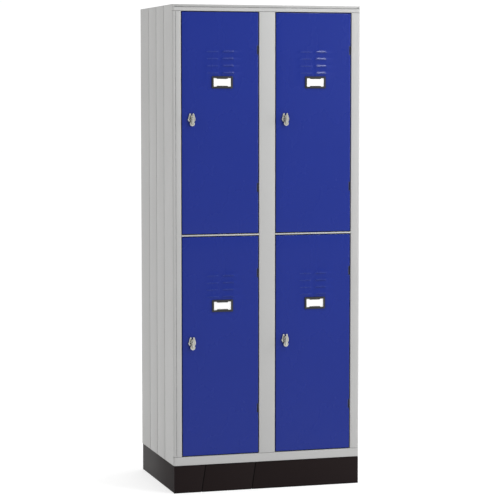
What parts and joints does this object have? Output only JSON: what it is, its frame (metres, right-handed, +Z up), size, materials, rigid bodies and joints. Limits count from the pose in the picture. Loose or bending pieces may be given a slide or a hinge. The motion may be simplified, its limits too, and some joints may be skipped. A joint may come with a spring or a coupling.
{
  "type": "school locker",
  "caption": "Two-tier steel school locker on a plinth, with hinged louvred doors, padlock turn latches, label holders and coat hooks inside.",
  "frame": {"origin": "on the floor, under the middle of the whole locker", "axes": "+X to the right along the front, +Y from the front to the back, +Z up"},
  "size_m": [0.724, 0.5184, 1.8],
  "materials": {
    "frame_paint": "light grey satin powder coat",
    "door_paint": "blue satin powder coat",
    "plinth_paint": "black matt powder coat",
    "lock_zinc": "satin zinc die casting",
    "hinge_steel": "dark painted steel",
    "hook_steel": "zinc plated steel",
    "cam_steel": "zinc plated steel",
    "label_frame": "black satin plastic",
    "label_card": "blank white card"
  },
  "bodies": {
    "cabinet": {"side_panel_left": "frame_paint", "side_panel_right": "frame_paint", "back_panel": "frame_paint", "top_panel": "frame_paint", "floor_panel": "frame_paint", "divider_panel": "frame_paint", "shelf_left": "frame_paint", "shelf_right": "frame_paint", "top_rail": "frame_paint", "bottom_rail": "frame_paint", "left_post": "frame_paint", "middle_post": "frame_paint", "right_post": "frame_paint", "crossbar_left": "frame_paint", "crossbar_right": "frame_paint", "plinth_front": "plinth_paint", "plinth_back": "plinth_paint", "plinth_left_side": "plinth_paint", "plinth_right_side": "plinth_paint", "hinge_lower_of_lower_left_door": "hinge_steel", "hinge_upper_of_lower_left_door": "hinge_steel", "hook_rail_lower_left": "hook_steel", "hinge_lower_of_lower_right_door": "hinge_steel", "hinge_upper_of_lower_right_door": "hinge_steel", "hook_rail_lower_right": "hook_steel", "hinge_lower_of_upper_left_door": "hinge_steel", "hinge_upper_of_upper_left_door": "hinge_steel", "hook_rail_upper_left": "hook_steel", "hinge_lower_of_upper_right_door": "hinge_steel", "hinge_upper_of_upper_right_door": "hinge_steel", "hook_rail_upper_right": "hook_steel"},
    "door_lower_left": {"door_panel_lower_left": "door_paint", "door_stiffener_lower_left": "door_paint", "label_frame_lower_left": "label_frame", "label_card_lower_left": "label_card", "lock_plate_lower_left": "lock_zinc"},
    "latch_lower_left": {"latch_knob_lower_left": "lock_zinc", "latch_cam_lower_left": "cam_steel"},
    "door_lower_right": {"door_panel_lower_right": "door_paint", "door_stiffener_lower_right": "door_paint", "label_frame_lower_right": "label_frame", "label_card_lower_right": "label_card", "lock_plate_lower_right": "lock_zinc"},
    "latch_lower_right": {"latch_knob_lower_right": "lock_zinc", "latch_cam_lower_right": "cam_steel"},
    "door_upper_left": {"door_panel_upper_left": "door_paint", "door_stiffener_upper_left": "door_paint", "label_frame_upper_left": "label_frame", "label_card_upper_left": "label_card", "lock_plate_upper_left": "lock_zinc"},
    "latch_upper_left": {"latch_knob_upper_left": "lock_zinc", "latch_cam_upper_left": "cam_steel"},
    "door_upper_right": {"door_panel_upper_right": "door_paint", "door_stiffener_upper_right": "door_paint", "label_frame_upper_right": "label_frame", "label_card_upper_right": "label_card", "lock_plate_upper_right": "lock_zinc"},
    "latch_upper_right": {"latch_knob_upper_right": "lock_zinc", "latch_cam_upper_right": "cam_steel"}
  },
  "joints": [
    {"name": "door_lower_left_hinge", "type": "hinge", "parent": "cabinet", "child": "door_lower_left", "pos_m": [-0.04165, -0.23625, 0.5445], "axis": [0, 0, 1], "range_deg": [0, 110]},
    {"name": "latch_lower_left_turn", "type": "hinge", "parent": "door_lower_left", "child": "latch_lower_left", "pos_m": [-0.291, -0.24075, 0.559], "axis": [0, -1, 0], "range_deg": [0, 90]},
    {"name": "door_lower_right_hinge", "type": "hinge", "parent": "cabinet", "child": "door_lower_right", "pos_m": [0.3176, -0.23625, 0.5445], "axis": [0, 0, 1], "range_deg": [0, 110]},
    {"name": "latch_lower_right_turn", "type": "hinge", "parent": "door_lower_right", "child": "latch_lower_right", "pos_m": [0.06825, -0.24075, 0.559], "axis": [0, -1, 0], "range_deg": [0, 90]},
    {"name": "door_upper_left_hinge", "type": "hinge", "parent": "cabinet", "child": "door_upper_left", "pos_m": [-0.04165, -0.23625, 1.3675], "axis": [0, 0, 1], "range_deg": [0, 110]},
    {"name": "latch_upper_left_turn", "type": "hinge", "parent": "door_upper_left", "child": "latch_upper_left", "pos_m": [-0.291, -0.24075, 1.382], "axis": [0, -1, 0], "range_deg": [0, 90]},
    {"name": "door_upper_right_hinge", "type": "hinge", "parent": "cabinet", "child": "door_upper_right", "pos_m": [0.3176, -0.23625, 1.3675], "axis": [0, 0, 1], "range_deg": [0, 110]},
    {"name": "latch_upper_right_turn", "type": "hinge", "parent": "door_upper_right", "child": "latch_upper_right", "pos_m": [0.06825, -0.24075, 1.382], "axis": [0, -1, 0], "range_deg": [0, 90]}
  ]
}
